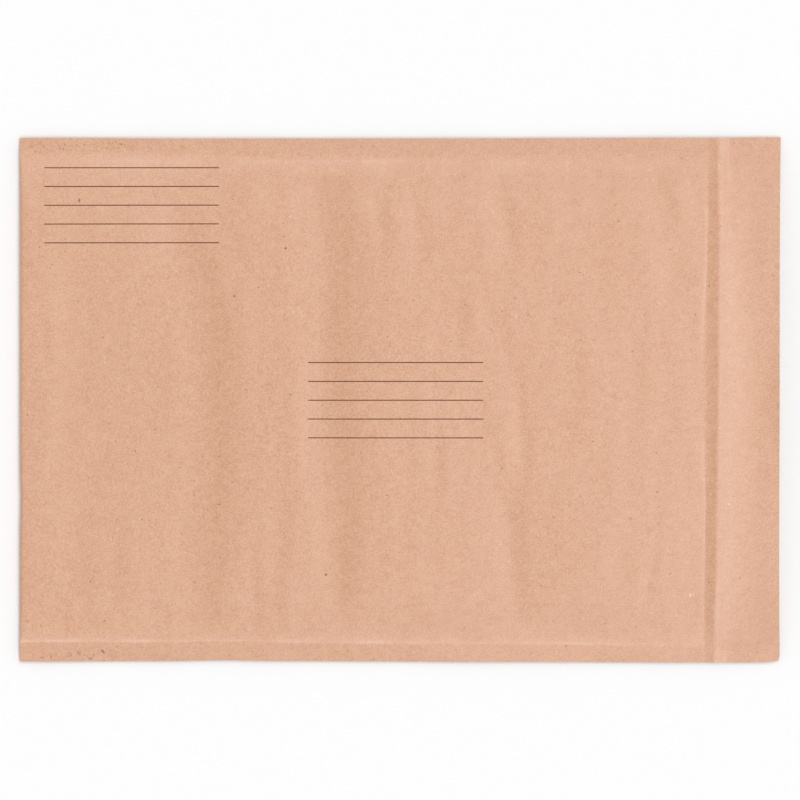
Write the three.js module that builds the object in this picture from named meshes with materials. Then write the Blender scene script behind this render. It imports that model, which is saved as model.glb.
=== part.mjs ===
// Padded envelope lying address side up with its flap open: one kraft sheet folded across the bottom
// and bonded down both sides, lined with folded bubble film, with a covered gum strip under the flap.
// +X runs from the bottom fold to the flap, +Z is up, and the origin is on the rest surface.
import * as THREE from "three";

// Driving dimensions, in millimetres
const LENGTH = 348;            // bottom fold to the flap's free edge
const WIDTH = 240;             // over both side seams
const FLAP_DEPTH = 29;         // crease to free edge
const PAPER = 0.2;             // kraft paper
const WALL = 3;                // one wall of bubble film
const GLUE = 0.1;              // between paper and film
const FOLD_RADIUS = 1.4;       // of the paper round the bottom fold
const FOLD_SQUASH = 0.6;       // share of the padding's thickness that is left at the fold
const FOLD_RECOVERY = 60;      // from the fold to the full thickness
const SEAM_WIDTH = 9;          // bonded band down each side
const SEAM_DROOP = 1.5;        // the band's outer edge hangs this far below its inner line
const SEAM_RISE = 30;          // over which the padding swells up beside a seam
const POCKET_GAP = 6.5;        // between the two walls in mid body
const MOUTH_GAP = 5.5;         // between the two walls at the mouth
const POCKET_SWELL = 160;      // length over which the pocket opens, from each end
const POCKET_CROWN = 2;        // power of the curve that the pocket closes along towards the seams
const LINER_SETBACK = 5;       // film ends this far short of the crease
const BACK_SETBACK = 2;        // back panel ends this far short of the crease
const CREASE_CREST = 1.1;      // the crease stands this far above the panel
const SEAM_CREST = 0.45;       // and this far above the seams
const FLAP_FALL = 2.9;         // the flap falls this far from the crease in mid width
const EDGE_FALL = 1.4;         // and this far at its side edges
const FLAP_CURL = 2.2;         // angle of the sine that it falls and curls up along
const FLAP_ARCH = 3;           // power of the curve that its section arches along
const FLAP_EASE = 14;          // over which the panel's section turns into that arch
const STRIP_INSET = 3;         // release strip to the flap's sides and free edge
const RELEASE_DEPTH = 20;
const ADHESIVE_DEPTH = 15;
const STRIP_THICKNESS = 0.15;
const STRIP_GAP = 0.05;        // between strip and paper

const KRAFT = { color: 0xdeb093, roughness: 0.85, metalness: 0 };
const BUBBLE_FILM = { color: 0xdfe3e4, roughness: 0.3, metalness: 0, transparent: true, opacity: 0.6 };
const ADHESIVE = { color: 0xe6dcb8, roughness: 0.35, metalness: 0 };
const RELEASE_PAPER = { color: 0xf2f0ea, roughness: 0.45, metalness: 0 };

// Places that follow from the driving dimensions
const FOLD_X = -LENGTH / 2;
const FLAP_END_X = LENGTH / 2;
const CREASE_X = FLAP_END_X - FLAP_DEPTH;
const LINER_END_X = CREASE_X - LINER_SETBACK;
const BACK_END_X = CREASE_X - BACK_SETBACK;
const PANEL_HALF = WIDTH / 2 - SEAM_WIDTH;
const PAD = 2 * (WALL + GLUE);
const SEAM_HEIGHT = PAD / 2;
const STRIP_X = FLAP_END_X - STRIP_INSET - RELEASE_DEPTH / 2;
const STRIP_HALF = WIDTH / 2 - STRIP_INSET;

const smooth = (distance, run) => THREE.MathUtils.smoothstep(distance, 0, run);
const share = (distance, run) => THREE.MathUtils.clamp(distance / run, 0, 1);
const swell = (distance, run) => Math.sin((share(distance, run) * Math.PI) / 2);

function roundedEnd(distance, radius) {
  const t = share(distance, radius);
  return Math.sqrt(t * (2 - t));
}

// Padding thickness as a share of the full pad: pressed flatter at the fold, and none at the seams.
// inset is how far inside the paper's outer face the surface lies.
function fullness(x, y, inset) {
  const pressed = THREE.MathUtils.lerp(FOLD_SQUASH, 1, smooth(x - FOLD_X, FOLD_RECOVERY));
  const folded = roundedEnd(x - FOLD_X - inset, FOLD_RADIUS - inset);
  return pressed * folded * swell(PANEL_HALF - Math.abs(y), SEAM_RISE);
}

// Height of the empty pocket between the two film walls
function pocketHeight(x, y) {
  const body = POCKET_GAP * smooth(x - FOLD_X - FOLD_RADIUS, POCKET_SWELL);
  const mouth = (MOUTH_GAP - POCKET_GAP) * smooth(x - LINER_END_X + POCKET_SWELL, POCKET_SWELL);
  const across = share(Math.abs(y), PANEL_HALF);
  return (body + mouth) * (1 - across ** POCKET_CROWN);
}

// The flap's section across the width: one sheet that arches from edge to edge, with no bonded bands
function flapSection(y) {
  const across = share(Math.abs(y), WIDTH / 2);
  return THREE.MathUtils.lerp(PAD + MOUTH_GAP, SEAM_HEIGHT - SEAM_DROOP, across ** FLAP_ARCH);
}

// Climb to the crease from where the film ends, then the flap's fall and the curl at its free edge
function creaseProfile(x, y) {
  const onPad = smooth(PANEL_HALF - Math.abs(y), SEAM_RISE);
  const crest = THREE.MathUtils.lerp(SEAM_CREST, CREASE_CREST, onPad);
  const climb = crest * share(x - LINER_END_X, LINER_SETBACK);
  const fall = THREE.MathUtils.lerp(EDGE_FALL, FLAP_FALL, Math.cos((Math.PI * y) / WIDTH));
  return climb - fall * Math.sin(FLAP_CURL * share(x - CREASE_X, FLAP_DEPTH));
}

// Underside of the bonded bands, sloping down to their outer edges
const seamLine = (y) => SEAM_HEIGHT - SEAM_DROOP * share(Math.abs(y) - PANEL_HALF, SEAM_WIDTH);

const backOutside = (x, y) => seamLine(y) - SEAM_HEIGHT * fullness(x, y, 0);
const backInside = (x, y) => PAPER + seamLine(y) - SEAM_HEIGHT * fullness(x, y, PAPER);

function frontOver(x, y, inset) {
  const padded = seamLine(y) + (PAD - SEAM_HEIGHT) * fullness(x, y, inset) + pocketHeight(x, y);
  const arched = THREE.MathUtils.lerp(padded, flapSection(y), smooth(x - CREASE_X, FLAP_EASE));
  return arched + creaseProfile(x, y);
}

const frontInside = (x, y) => PAPER + frontOver(x, y, PAPER);
const frontOutside = (x, y) => 2 * PAPER + frontOver(x, y, 0);

function evenSteps(from, to, count) {
  return Array.from({ length: count }, (_, i) => THREE.MathUtils.lerp(from, to, (i + 1) / count));
}

// Plan stations: close together round the fold, beside the seams and at the crease
const FOLD_STEPS = 4;
const BODY_STEPS = 17;
const RISE_SHARES = [0.07, 0.16, 0.5, 1];
const PANEL_STEPS = 6;

function lengthStations() {
  const innerRadius = FOLD_RADIUS - PAPER;
  const round = evenSteps(0, Math.PI / 2, FOLD_STEPS).map(
    (angle) => FOLD_X + PAPER + innerRadius * (1 - Math.cos(angle)),
  );
  const body = evenSteps(FOLD_X + FOLD_RADIUS, LINER_END_X, BODY_STEPS);
  const release = [STRIP_X - RELEASE_DEPTH / 2, STRIP_X + RELEASE_DEPTH / 2];
  const adhesive = [STRIP_X - ADHESIVE_DEPTH / 2, STRIP_X + ADHESIVE_DEPTH / 2];
  const bare = (CREASE_X + release[0]) / 2;
  const flap = [bare, release[0], adhesive[0], STRIP_X, adhesive[1], release[1], FLAP_END_X];
  return [FOLD_X, FOLD_X + PAPER, ...round, ...body, BACK_END_X, CREASE_X, ...flap];
}

function widthStations() {
  const rise = RISE_SHARES.map((part) => PANEL_HALF - SEAM_RISE * part);
  const panel = evenSteps(PANEL_HALF - SEAM_RISE, 0, PANEL_STEPS);
  const half = [WIDTH / 2, STRIP_HALF, PANEL_HALF, ...rise, ...panel];
  const mirrored = half.slice(0, -1).map((y) => -y);
  return [...mirrored, ...half.reverse()];
}

const between = (stations, low, high) => stations.filter((s) => s >= low && s <= high);

// Closed solid of sheets stacked over a plan grid. surfaces are heights from the lowest to the highest,
// and holds(layer, x, y) says whether the cell at (x, y) has material between surfaces layer and
// layer + 1. Where two surfaces meet, their corners are one vertex and the flat faces are dropped.
function stackedSheets(xs, ys, surfaces, holds) {
  const positions = [];
  const indices = [];
  const known = new Map();

  function corner(i, j, surface) {
    const z = surfaces[surface](xs[i], ys[j]);
    const key = `${i},${j},${z.toFixed(6)}`;
    if (!known.has(key)) {
      known.set(key, positions.length / 3);
      positions.push(xs[i], ys[j], z);
    }
    return known.get(key);
  }

  function triangle(a, b, c) {
    if (a !== b && b !== c && c !== a) indices.push(a, b, c);
  }

  function quad(a, b, c, d) {
    triangle(a, b, c);
    triangle(a, c, d);
  }

  function filled(i, j, layer) {
    const inGrid = i >= 0 && j >= 0 && i < xs.length - 1 && j < ys.length - 1;
    const inStack = layer >= 0 && layer < surfaces.length - 1;
    if (!inGrid || !inStack) return false;
    return holds(layer, (xs[i] + xs[i + 1]) / 2, (ys[j] + ys[j + 1]) / 2);
  }

  function addCell(i, j, k) {
    const low = [corner(i, j, k), corner(i + 1, j, k), corner(i + 1, j + 1, k), corner(i, j + 1, k)];
    const top = k + 1;
    const high = [corner(i, j, top), corner(i + 1, j, top), corner(i + 1, j + 1, top), corner(i, j + 1, top)];
    if (!filled(i, j, k - 1)) quad(low[0], low[3], low[2], low[1]);
    if (!filled(i, j, k + 1)) quad(high[0], high[1], high[2], high[3]);
    const neighbours = [[i, j - 1], [i + 1, j], [i, j + 1], [i - 1, j]];
    neighbours.forEach(([ni, nj], side) => {
      const next = (side + 1) % 4;
      if (!filled(ni, nj, k)) quad(low[side], low[next], high[next], high[side]);
    });
  }

  for (let layer = 0; layer < surfaces.length - 1; layer++) {
    for (let i = 0; i < xs.length - 1; i++) {
      for (let j = 0; j < ys.length - 1; j++) {
        if (filled(i, j, layer)) addCell(i, j, layer);
      }
    }
  }

  const geometry = new THREE.BufferGeometry();
  geometry.setAttribute("position", new THREE.Float32BufferAttribute(positions, 3));
  geometry.setIndex(indices);
  geometry.computeVertexNormals();
  return geometry;
}

const xStations = lengthStations();
const yStations = widthStations();

// The folded kraft sheet: back panel, bonded seams and fold, and the front panel that runs on as the flap
const BACK_LAYER = 0;
const POCKET_LAYER = 1;

function kraftCover() {
  const surfaces = [backOutside, backInside, frontInside, frontOutside];
  return stackedSheets(xStations, yStations, surfaces, (layer, x, y) => {
    const inPocket = x > FOLD_X + PAPER && Math.abs(y) < PANEL_HALF;
    if (layer === BACK_LAYER) return x < BACK_END_X;
    if (layer === POCKET_LAYER) return x < BACK_END_X && !inPocket;
    return true;
  });
}

// The folded film: two padded walls, sealed to each other along the fold and both sides
function bubbleLiner() {
  const foldStations = xStations.slice(0, 2 + FOLD_STEPS);
  const startX = foldStations[foldStations.length - 1 - FOLD_STEPS / 2];
  const halfWidth = PANEL_HALF - SEAM_RISE * RISE_SHARES[0];
  const sealedFrom = PANEL_HALF - SEAM_RISE * RISE_SHARES[1];
  const xs = between(xStations, startX, LINER_END_X);
  const ys = between(yStations, -halfWidth, halfWidth);
  const wall = (x, y) => (PAD / 2) * fullness(x, y, PAPER);
  const surfaces = [
    (x, y) => backInside(x, y) + GLUE,
    (x, y) => backInside(x, y) + wall(x, y),
    (x, y) => frontInside(x, y) - wall(x, y),
    (x, y) => frontInside(x, y) - GLUE,
  ];
  return stackedSheets(xs, ys, surfaces, (layer, x, y) => {
    const inPocket = x > FOLD_X + FOLD_RADIUS && Math.abs(y) < sealedFrom;
    return layer !== POCKET_LAYER || !inPocket;
  });
}

// A strip across the underside of the flap, its upper face below the paper's inner face by below
function flapStrip(depth, below) {
  const xs = between(xStations, STRIP_X - depth / 2, STRIP_X + depth / 2);
  const ys = between(yStations, -STRIP_HALF, STRIP_HALF);
  const surfaces = [
    (x, y) => frontInside(x, y) - below - STRIP_THICKNESS,
    (x, y) => frontInside(x, y) - below,
  ];
  return stackedSheets(xs, ys, surfaces, () => true);
}

function named(name, geometry, finish) {
  const mesh = new THREE.Mesh(geometry, new THREE.MeshStandardMaterial(finish));
  mesh.name = name;
  return mesh;
}

const envelope = new THREE.Group();
envelope.name = "padded_envelope";
envelope.add(named("kraft_cover", kraftCover(), KRAFT));
envelope.add(named("bubble_liner", bubbleLiner(), BUBBLE_FILM));

const releaseBelow = STRIP_GAP + STRIP_THICKNESS + STRIP_GAP;
envelope.add(named("adhesive_strip", flapStrip(ADHESIVE_DEPTH, STRIP_GAP), ADHESIVE));
envelope.add(named("release_strip", flapStrip(RELEASE_DEPTH, releaseBelow), RELEASE_PAPER));

export default envelope;
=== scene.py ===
"""Padded envelope lying address side up with its flap open: paper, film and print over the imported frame."""
import math

import bpy
import numpy as np
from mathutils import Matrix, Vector, noise


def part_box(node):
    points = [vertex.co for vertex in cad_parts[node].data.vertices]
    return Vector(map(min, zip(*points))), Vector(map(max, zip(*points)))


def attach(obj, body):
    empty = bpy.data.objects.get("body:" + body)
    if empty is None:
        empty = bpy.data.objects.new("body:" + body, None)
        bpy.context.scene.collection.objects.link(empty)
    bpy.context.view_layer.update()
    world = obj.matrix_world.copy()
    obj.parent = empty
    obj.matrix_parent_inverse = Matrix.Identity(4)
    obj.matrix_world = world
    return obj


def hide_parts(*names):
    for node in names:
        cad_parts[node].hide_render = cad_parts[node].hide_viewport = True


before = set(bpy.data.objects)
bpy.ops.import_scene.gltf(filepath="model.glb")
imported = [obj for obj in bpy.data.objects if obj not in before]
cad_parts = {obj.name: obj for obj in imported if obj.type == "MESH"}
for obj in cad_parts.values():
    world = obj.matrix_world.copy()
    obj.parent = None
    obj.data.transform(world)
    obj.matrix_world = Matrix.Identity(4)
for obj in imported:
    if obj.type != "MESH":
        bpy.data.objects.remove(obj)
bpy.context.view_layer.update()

# Shapes are worked out in millimetres, and the frame is in metres
MM = 0.001


def node_box(node):
    low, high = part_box(node)
    return np.array(low) / MM, np.array(high) / MM


# Places that come from the frame
COVER_LOW, COVER_HIGH = node_box("kraft_cover")
LINER_LOW, LINER_HIGH = node_box("bubble_liner")
ADHESIVE_LOW, ADHESIVE_HIGH = node_box("adhesive_strip")
RELEASE_LOW, RELEASE_HIGH = node_box("release_strip")
FOLD_X = COVER_LOW[0]
FLAP_END_X = COVER_HIGH[0]
HALF_WIDTH = COVER_HIGH[1]
LINER_END_X = LINER_HIGH[0]

# Paper, film and their fit
PAPER = 0.2
GLUE = 0.1
WALL = 3.0
PAD = 2 * (WALL + GLUE)
SEAM_WIDTH = 9.0
SEAM_DROOP = 1.5
SEAM_RISE = 30.0
SEAM_HEIGHT = PAD / 2
FOLD_SQUASH = 0.6
FOLD_RECOVERY = 60.0
FOLD_RADIUS = 1.4
PANEL_HALF = HALF_WIDTH - SEAM_WIDTH
POCKET_GAP = 6.5
MOUTH_GAP = 5.5
POCKET_SWELL = 160.0
POCKET_CROWN = 2
MOUTH_FALL = 1.15
MOUTH_FALL_RUN = 52.0
LOWER_FALL = 1.1
LOWER_FALL_RUN = 80.0
MOUTH_CROWN = 4
LINER_SETBACK = 5.0
BACK_SETBACK = 2.0
CREASE_X = LINER_END_X + LINER_SETBACK
BACK_END_X = CREASE_X - BACK_SETBACK
LINER_STEP = 0.2
LINER_STEP_RUN = 1.5
LINER_SLIP = 2.2
SLIP_MIDDLE = 12.0
SLIP_HALF = 40.0
CREASE_CREST = 1.0
LOWER_CREST = 0.3
LOWER_CREST_RUN = 60.0
LEAST_CREST = 0.3
CREST_GROWTH = 1.1
CREST_PINCH = 1.6
PINCH_MIDDLE = 3.0
PINCH_HALF = 30.0
FLAP_FALL = 2.4
EDGE_FALL = 1.0
FLAP_FALL_RUN = 20.0
FLAP_NIP = 0.45
FLAP_NIP_RUN = 8.0
NIP_LOSS = 0.7
FLAP_ARCH = 3
FLAP_EASE = 14.0
END_CURL = 0.8
END_CURL_RUN = 9.0
END_CURL_HALF = 17.0


def share(distance, run):
    return np.clip(distance / run, 0.0, 1.0)


def smooth(distance, run):
    t = share(distance, run)
    return t * t * (3 - 2 * t)


def span(value, start, end):
    """0 up to start and 1 from end on, eased between them. The end may be the lower of the two."""
    return smooth(value - start, end - start)


def swell(distance, run):
    return np.sin(share(distance, run) * math.pi / 2)


def bell(distance, half_width):
    return np.exp(-((distance / half_width) ** 2))


def rounded_end(distance, radius):
    t = share(distance, radius)
    return np.sqrt(t * (2 - t))


def wander(x, y, pitch_x, pitch_y, seed):
    """Smooth unevenness between -1 and 1, with these distances between its swells."""
    at = np.vectorize(lambda u, v: noise.noise(Vector((u / pitch_x, v / pitch_y, seed))))
    return at(x, y)


# Wrinkles of the address panel: points from the top down, half width, dent and rise to the right
WRINKLES = [
    ([(-96, 80), (-91, 68), (-86, 52), (-81, 25), (-81, -20), (-83, -57), (-86, -104)], 6.2, 0.0, 1.55),
    ([(-70, 52), (-67, 34), (-68, 14)], 5.0, 0.0, -0.4),
    ([(-80, 97), (-79, 72)], 4.0, 0.0, 0.5),
    ([(-109, 85), (-103, 57), (-96, 25), (-95, -10), (-98, -33), (-101, -57), (-107, -82)], 7.5, 0.0, -0.6),
    ([(-38, 102), (-34, 80), (-33, 57), (-34, 33), (-31, -33), (-30, -57), (-31, -92)], 12.0, 1.51, 0.94),
    ([(-41, 105), (-36, 97)], 2.0, 0.0, 0.22),
    ([(-25, 103), (-23, 92), (-24, 80), (-24, 62)], 2.5, 0.0, 0.32),
    ([(-21, -44), (-22, -70), (-25, -86), (-28, -102)], 3.5, 0.0, 0.4),
    ([(-15, 97), (-14, 76)], 5.0, 0.0, -0.5),
    ([(-13, 99), (-11, 88), (-9, 78), (-7, 68)], 3.0, 0.22, 0.07),
    ([(2, 90), (4, 52)], 6.0, 0.0, -0.4),
    ([(6, 94), (8, 85), (9, 75), (10, 62)], 3.0, 0.25, 0.11),
    ([(29, 46), (30, 26)], 3.0, 0.0, 0.9),
    ([(22, -52), (23, -74)], 6.0, 0.0, 0.45),
    ([(19, -21), (19, -44)], 2.5, 0.11, 0.6),
    ([(33, 94), (40, 84)], 2.5, 0.0, -0.22),
    ([(44, 105), (46, 92), (48, 80), (51, 66)], 5.0, 0.4, 0.0),
    ([(56, 104), (56, 78)], 6.0, 0.0, 0.3),
    ([(37, 42), (47, 26), (54, 5), (56, -17), (56, -38)], 4.0, 0.29, 0.0),
    ([(58, -24), (59, -38)], 2.5, 0.0, 0.42),
    ([(46, -36), (50, -56), (51, -78), (53, -99)], 6.0, 0.6, -0.07),
    ([(45, -20), (46, -42)], 2.5, 0.0, 0.32),
    ([(66, -42), (65, -60), (64, -92)], 12.0, 0.0, 0.94),
    ([(61, 58), (64, 46)], 2.2, 0.2, 0.0),
    ([(62, 103), (63, 88)], 2.5, 0.1, 0.2),
    ([(78, 103), (79, 84)], 2.5, 0.12, 0.25),
    ([(95, 103), (96, 88)], 2.5, 0.1, 0.25),
    ([(67, -68), (68, -92)], 4.0, 0.0, 0.25),
    ([(88, 60), (90, 10)], 10.0, 0.0, -0.36),
    ([(91, -20), (95, -30), (98, -48)], 3.0, 0.0, 0.35),
    ([(95, -66), (94, -86)], 5.0, 0.0, -0.36),
    ([(105, -70), (102, -90)], 3.0, 0.0, 0.3),
    ([(108, 22), (112, 12), (114, 3)], 3.0, 0.0, 0.35),
    ([(122, -42), (117, -54), (111, -68)], 4.0, 0.0, 0.4),
    ([(118, -64), (116, -74), (113, -84), (111, -93)], 1.6, 0.4, 0.0),
    ([(119, 106), (122, 96), (124, 88), (130, 81)], 3.8, 0.0, 1.0),
    ([(130, 108), (131, 66)], 4.5, 0.0, -0.36),
    ([(121, 68), (120, 46)], 5.0, 0.0, -0.43),
    ([(131, 70), (127, 54)], 3.0, 0.0, 0.5),
    ([(135, -84), (135, -108)], 2.0, 0.13, 0.0),
    ([(-142, 90), (-141, 68)], 4.0, 0.0, 0.43),
    ([(-125, 90), (-124, 66)], 4.0, 0.0, 0.5),
    ([(-166, 44), (-164, 29), (-161, 19)], 1.8, 0.3, 0.0),
    ([(-165, 100), (-165, -100)], 4.0, 0.0, 0.4),
    ([(-156, 57), (-155, -60)], 7.0, 0.0, -0.65),
    ([(-124, 50), (-126, -33), (-124, -57), (-127, -90)], 13.0, 0.0, 0.36),
    ([(-160, -76), (-160, -98)], 2.5, 0.11, 0.0),
    ([(-147, -46), (-146, -66), (-147, -88)], 4.0, 0.2, 0.25),
    ([(-129, -56), (-130, -75), (-130, -94)], 4.0, 0.32, 0.4),
    ([(-155, -97), (-154, -108)], 2.0, 0.16, 0.15),
    ([(-138, -100), (-137, -110)], 2.0, 0.11, 0.0),
    ([(-67, -74), (-66, -98)], 3.0, 0.29, 0.14),
    ([(-50, -42), (-51, -66), (-53, -78), (-56, -98)], 3.0, 0.0, 0.58),
    ([(-44, -36), (-43, -60), (-44, -92)], 7.0, 0.0, 0.72),
]
WRINKLE_FADE = 12.0
BEND_SAMPLES = 7
WRINKLE_BEND = np.linspace(-WRINKLE_FADE, WRINKLE_FADE, BEND_SAMPLES)
RETURN_RUN = 5.0


def wrinkle(x, y, points, width, dent, rise):
    """A soft dent along the points, and a quick rise across them with a slow return."""
    along = points[::-1]
    ys = [p[1] for p in along]
    xs = [p[0] for p in along]
    centre = np.mean([np.interp(y + bend, ys, xs) for bend in WRINKLE_BEND], axis=0)
    lower_end = span(y, ys[0] - WRINKLE_FADE, ys[0] + WRINKLE_FADE)
    upper_end = span(y, ys[-1] + WRINKLE_FADE, ys[-1] - WRINKLE_FADE)
    t = (x - centre) / width
    dented = dent / np.cosh(t) ** 2
    raised = rise / 2 * (np.tanh(t) - np.tanh(t / RETURN_RUN))
    return lower_end * upper_end * (raised - dented)


# Unevenness of the front: pitch along it, pitch across it and seed
BROAD_SWELLS = (24, 70, 3.1)
FINE_SWELLS = (9, 34, 7.7)
BROAD_DEPTH = 0.22
FINE_DEPTH = 0.14
CRUMPLE_SEAM_RUN = 10.0
CRUMPLE_END_RUN = 12.0
FLAP_CRUMPLE = 0.6
FLAP_CRUMPLE_RUN = 8.0


def crumple(x, y):
    """All unevenness of the front. It fades out at the seams, fold and crease, and is weaker on the flap."""
    seams = smooth(PANEL_HALF - np.abs(y), CRUMPLE_SEAM_RUN)
    ends = smooth(x - FOLD_X - FOLD_RADIUS, CRUMPLE_END_RUN) * smooth(LINER_END_X - x, CRUMPLE_END_RUN)
    wrinkled = sum(wrinkle(x, y, *each) for each in WRINKLES)
    uneven = BROAD_DEPTH * wander(x, y, *BROAD_SWELLS) + FINE_DEPTH * wander(x, y, *FINE_SWELLS)
    flap = FLAP_CRUMPLE * smooth(x - CREASE_X, FLAP_CRUMPLE_RUN)
    return (wrinkled + uneven) * seams * ends + uneven * flap


def fullness(x, y, inset):
    """Padding thickness as a share of the full pad: pressed flatter at the fold, and none at the seams."""
    pressed = FOLD_SQUASH + (1 - FOLD_SQUASH) * smooth(x - FOLD_X, FOLD_RECOVERY)
    folded = rounded_end(x - FOLD_X - inset, FOLD_RADIUS - inset)
    return pressed * folded * swell(PANEL_HALF - np.abs(y), SEAM_RISE)


def pocket_height(x, y):
    body = POCKET_GAP * smooth(x - FOLD_X - FOLD_RADIUS, POCKET_SWELL)
    mouth = (MOUTH_GAP - POCKET_GAP) * smooth(x - LINER_END_X + POCKET_SWELL, POCKET_SWELL)
    return (body + mouth) * (1 - share(np.abs(y), PANEL_HALF) ** POCKET_CROWN)


def mouth_fall(x, y):
    """How far the front wall sinks towards the mouth, more so in its lower half."""
    depth = MOUTH_FALL + LOWER_FALL * smooth(-y, LOWER_FALL_RUN)
    along = share(x - LINER_END_X + MOUTH_FALL_RUN, MOUTH_FALL_RUN) ** 2
    return depth * along * (1 - share(np.abs(y), PANEL_HALF) ** MOUTH_CROWN)


def flap_section(y):
    """The flap across the width: one sheet that arches from edge to edge, with no bonded bands."""
    middle = PAD + MOUTH_GAP
    edge = SEAM_HEIGHT - SEAM_DROOP
    return middle + (edge - middle) * share(np.abs(y), HALF_WIDTH) ** FLAP_ARCH


def liner_line(y):
    """Where the front wall of the liner ends: it has slipped back a little near the middle."""
    return LINER_END_X - LINER_SLIP * bell(y - SLIP_MIDDLE, SLIP_HALF)


def pinched(y):
    """How much the climb to the crease is drawn in: most near the middle of the width."""
    return bell(y - PINCH_MIDDLE, PINCH_HALF)


# Where, out from the middle of the width, the crease's ends begin, its crest fades and the flap's nip eases
CREASE_ENDS = (80, 105)
CREST_FADES = (HALF_WIDTH - 17, HALF_WIDTH - 3)
NIP_EASES = (HALF_WIDTH - 20, HALF_WIDTH)


def crease_profile(x, y):
    """The paper steps off the liner, climbs to the crease, falls on the flap and turns up at its end."""
    outwards = np.abs(y)
    start = liner_line(y)
    run = CREASE_X - start
    step = LINER_STEP * smooth(x - start + LINER_STEP_RUN, LINER_STEP_RUN)
    step = step * smooth(PANEL_HALF - outwards, SEAM_RISE) * (1 - pinched(y))
    crest = CREASE_CREST + LOWER_CREST * smooth(-y, LOWER_CREST_RUN)
    crest = crest * (1 - (1 - LEAST_CREST) * span(outwards, *CREST_FADES))
    growth = CREST_GROWTH + CREST_PINCH * pinched(y)
    ends = span(outwards, *CREASE_ENDS)
    climb = crest * ((1 - ends) * share(x - start, run) ** growth + ends * smooth(x - start, run))
    fall = EDGE_FALL + (FLAP_FALL - EDGE_FALL) * np.cos(math.pi * y / (2 * HALF_WIDTH))
    nip = FLAP_NIP * span(outwards, PANEL_HALF / 2, PANEL_HALF) * (1 - NIP_LOSS * span(outwards, *NIP_EASES))
    flap = fall * swell(x - CREASE_X, FLAP_FALL_RUN) + nip * swell(x - CREASE_X, FLAP_NIP_RUN)
    curl = END_CURL * share(x - FLAP_END_X + END_CURL_RUN, END_CURL_RUN) ** 2 * bell(y, END_CURL_HALF)
    return climb - step - flap + curl


# Waves of the seams: height at the outer edge, length, lean across the seam and start
SEAM_WAVES = [(0.175, 17.0, 0.4, 0.0), (0.125, 7.3, 0.0, 1.0)]


def seam_line(x, y):
    """Underside of the bonded bands, which slope down to their outer edges and wave a little."""
    outwards = share(np.abs(y) - PANEL_HALF, SEAM_WIDTH)
    wave = sum(height * np.sin(x / length + lean * y + start) for height, length, lean, start in SEAM_WAVES)
    return SEAM_HEIGHT - outwards * (SEAM_DROOP + wave)


# Hollows of the back: pitch along it, pitch across it and seed
BACK_SWELLS = (20, 55, 5.2)
BACK_LIFT = 0.4


def back_lift(x, y):
    """Shallow hollows in the back panel, which rests on what stands between them."""
    inner = smooth(PANEL_HALF - np.abs(y), SEAM_RISE) * smooth(x - FOLD_X - FOLD_RADIUS, FOLD_RECOVERY)
    return BACK_LIFT * np.maximum(wander(x, y, *BACK_SWELLS), 0.0) * inner


def back_outside(x, y):
    return np.maximum(seam_line(x, y) - SEAM_HEIGHT * fullness(x, y, 0), 0.0) + back_lift(x, y)


def back_inside(x, y):
    return PAPER + seam_line(x, y) - SEAM_HEIGHT * fullness(x, y, PAPER) + back_lift(x, y)


def front_over(x, y, inset):
    padded = seam_line(x, y) + (PAD - SEAM_HEIGHT) * fullness(x, y, inset) + pocket_height(x, y)
    arched = padded + (flap_section(y) - padded) * smooth(x - CREASE_X, FLAP_EASE)
    return arched - mouth_fall(x, y) + crease_profile(x, y) + crumple(x, y)


def front_inside(x, y):
    return PAPER + front_over(x, y, PAPER)


def front_outside(x, y):
    return 2 * PAPER + front_over(x, y, 0)


# How the edges and the crease stray from a straight plan
NICK_DEPTH = 0.4
NICK_Y = -46.0
NICK_HALF = 9.0
FOLD_DRAW = 0.15
FOLD_DRAW_MARGIN = 2.0
FOLD_DRAW_RUN = 6.0
FOLD_DRAW_REACH = 10.0
FLAP_REACH = 0.2
FLAP_LEAN = 0.05
FLAP_HOLLOW = 0.75
HOLLOW_POWER = 4
CREASE_SKEW = 1.1
SKEW_HALF = 25.0
# Rises of the top edge: height, start and end
TOP_RISES = [(0.27, -105, -145), (0.4, 0, FLAP_END_X), (0.2, CREASE_X, FLAP_END_X)]
TOP_DROP = 0.2
TOP_EDGE = (HALF_WIDTH - 13.5, HALF_WIDTH - 9.5)
BOTTOM_DENT = 0.35
BOTTOM_DENT_X = -80.0
BOTTOM_DENT_HALF = 14.0
BOTTOM_DRAW = 0.22
BOTTOM_DRAW_GROWS = (30, 70)
BOTTOM_WAVE = 0.45
BOTTOM_WAVE_START = -192.0
BOTTOM_WAVE_LENGTH = 72.0
CORNER_WEAR = 0.9
CORNER_LENGTH = 8.0
CORNER_WIDTH = 5.0
CORNER_SHORTENING = 0.5


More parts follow.
